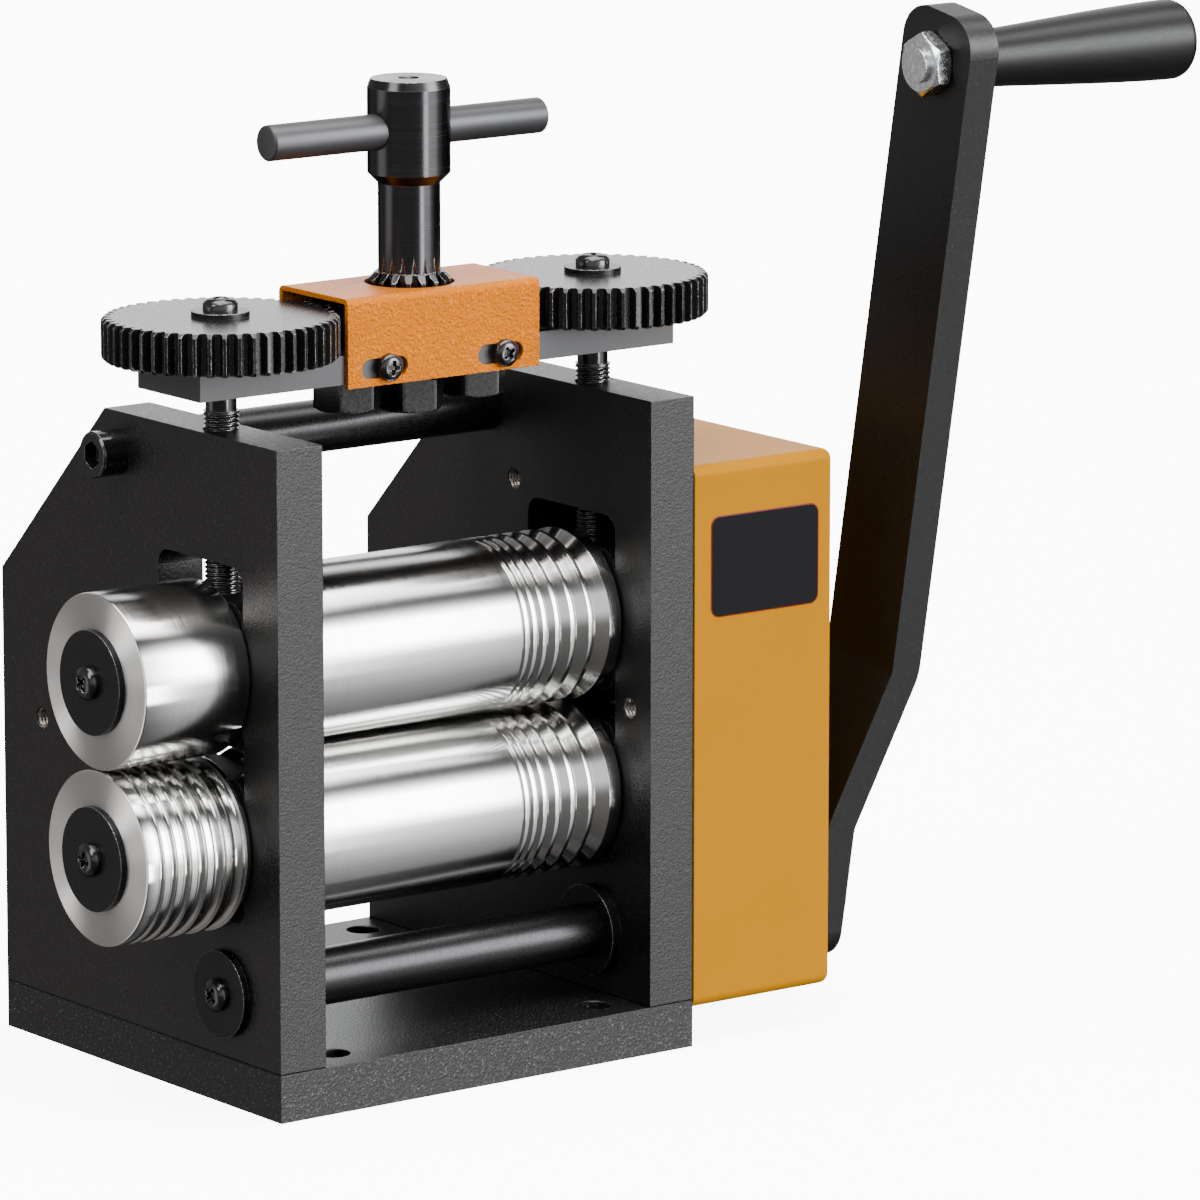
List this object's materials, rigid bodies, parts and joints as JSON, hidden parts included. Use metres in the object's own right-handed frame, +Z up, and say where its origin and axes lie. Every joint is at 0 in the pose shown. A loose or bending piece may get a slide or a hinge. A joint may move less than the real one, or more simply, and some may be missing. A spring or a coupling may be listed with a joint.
{
  "type": "combination rolling mill",
  "caption": "Hand-cranked bench mill with grooved rolls for metal sheet and wire, coupled height adjustment and side rolls for half-round wire.",
  "frame": {"origin": "centre of the base plate's underside, midway between the side plates", "axes": "+X along the rolls towards the gear side and crank, +Y to the back, +Z up"},
  "size_m": [0.3405, 0.1693, 0.2915],
  "materials": {
    "black_plate": "satin black paint",
    "base_paint": "satin black paint",
    "bar_paint": "satin dark grey paint",
    "guard_paint": "wrinkle powder coat",
    "cover_paint": "smooth powder coat",
    "roll_steel": "ground and polished",
    "block_steel": "machined, black oxide",
    "dark_gear": "black oxide, bright tooth edges",
    "dark_screw": "black oxide",
    "bright_steel": "turned",
    "zinc": "zinc plate",
    "bronze": "turned",
    "arm_paint": "satin black paint",
    "grip_plastic": "semi-gloss"
  },
  "bodies": {
    "frame": {"base_plate": "base_paint", "foot_screws": "dark_screw", "left_side_plate": "black_plate", "right_side_plate": "black_plate", "tie_bar": "dark_screw", "tie_bar_screws": "dark_screw", "lower_left_bearing_block": "block_steel", "lower_right_bearing_block": "block_steel", "lower_roll_bushes": "bronze", "lift_springs": "bright_steel", "crank_shaft_bushes": "bronze", "gear_cover": "cover_paint", "cover_posts": "dark_screw", "cover_screws": "dark_screw"},
    "crank": {"crank_shaft": "dark_gear", "crank_shaft_washer": "dark_screw", "crank_shaft_screw": "dark_screw", "crank_arm": "arm_paint", "crank_arm_screw": "dark_screw", "grip_bolt": "zinc", "grip_nut": "zinc"},
    "grip_sleeve": {"grip": "grip_plastic"},
    "lower_roll_set": {"lower_roll": "roll_steel", "lower_side_roll": "roll_steel", "lower_roll_keys": "bright_steel", "lower_side_washer": "dark_screw", "lower_side_screw": "dark_screw", "lower_retaining_ring": "dark_screw", "lower_roll_gear": "dark_gear", "reduction_gear": "dark_gear"},
    "upper_bearings": {"upper_left_bearing_block": "block_steel", "upper_right_bearing_block": "block_steel", "upper_roll_bushes": "bronze"},
    "upper_roll_set": {"upper_roll": "roll_steel", "upper_side_roll": "roll_steel", "upper_roll_keys": "bright_steel", "upper_side_washer": "dark_screw", "upper_side_screw": "dark_screw", "upper_retaining_ring": "dark_screw", "upper_roll_gear": "dark_gear"},
    "bridge": {"bridge_bar": "bar_paint", "idler_bolts": "dark_screw", "guard_screws": "zinc", "gear_guard": "guard_paint"},
    "handle": {"spindle": "dark_gear", "cross_bar": "dark_gear", "spindle_washer": "dark_screw", "spindle_nut": "dark_screw"},
    "left_idler": {"left_idler_pinion": "dark_gear"},
    "right_idler": {"right_idler_pinion": "dark_gear"},
    "left_screw": {"left_screw_gear": "dark_gear", "left_pressure_screw": "dark_screw", "left_gear_washer": "dark_screw", "left_gear_screw": "dark_screw"},
    "right_screw": {"right_screw_gear": "dark_gear", "right_pressure_screw": "dark_screw", "right_gear_washer": "dark_screw", "right_gear_screw": "dark_screw"}
  },
  "joints": [
    {"name": "crank_turn", "type": "hinge", "parent": "frame", "child": "crank", "pos_m": [0, -0.0415, 0.0314], "axis": [1, 0, 0], "continuous": true},
    {"name": "grip_spin", "type": "hinge", "parent": "crank", "child": "grip_sleeve", "pos_m": [0.195, -0.08542, 0.27548], "axis": [1, 0, 0], "continuous": true},
    {"name": "lower_roll_turn", "type": "hinge", "parent": "frame", "child": "lower_roll_set", "pos_m": [0, -0.031, 0.0722], "axis": [1, 0, 0], "continuous": true},
    {"name": "handle_turn", "type": "hinge", "parent": "bridge", "child": "handle", "pos_m": [0, -0.031, 0.2], "axis": [0, 0, 1], "range_deg": [0, 5930]},
    {"name": "bridge_lift", "type": "slide", "parent": "frame", "child": "bridge", "axis": [0, 0, 1], "range_m": [0, 0.007]},
    {"name": "upper_bearings_lift", "type": "slide", "parent": "frame", "child": "upper_bearings", "axis": [0, 0, 1], "range_m": [0, 0.00701], "deforming": ["lift_springs"]},
    {"name": "upper_roll_turn", "type": "hinge", "parent": "upper_bearings", "child": "upper_roll_set", "pos_m": [0, -0.031, 0.1212], "axis": [1, 0, 0], "continuous": true},
    {"name": "left_idler_turn", "type": "hinge", "parent": "bridge", "child": "left_idler", "pos_m": [-0.02125, -0.031, 0.21], "axis": [0, 0, 1], "range_deg": [-5930, 0]},
    {"name": "right_idler_turn", "type": "hinge", "parent": "bridge", "child": "right_idler", "pos_m": [0.02125, -0.031, 0.21], "axis": [0, 0, 1], "range_deg": [-5930, 0]},
    {"name": "left_screw_turn", "type": "hinge", "parent": "bridge", "child": "left_screw", "pos_m": [-0.06313, -0.031, 0.18], "axis": [0, 0, 1], "range_deg": [0, 2016.3]},
    {"name": "right_screw_turn", "type": "hinge", "parent": "bridge", "child": "right_screw", "pos_m": [0.06313, -0.031, 0.18], "axis": [0, 0, 1], "range_deg": [0, 2016.3]}
  ],
  "couplings": [
    {"joint": "lower_roll_turn", "follows": "crank_turn", "ratio": -0.4},
    {"joint": "upper_roll_turn", "follows": "crank_turn", "ratio": 0.4},
    {"joint": "handle_turn", "follows": "bridge_lift", "rad_per_m": 14784},
    {"joint": "upper_bearings_lift", "follows": "bridge_lift", "ratio": 1},
    {"joint": "left_idler_turn", "follows": "bridge_lift", "rad_per_m": -14784},
    {"joint": "right_idler_turn", "follows": "bridge_lift", "rad_per_m": -14784},
    {"joint": "left_screw_turn", "follows": "bridge_lift", "rad_per_m": 5026.5},
    {"joint": "right_screw_turn", "follows": "bridge_lift", "rad_per_m": 5026.5}
  ]
}
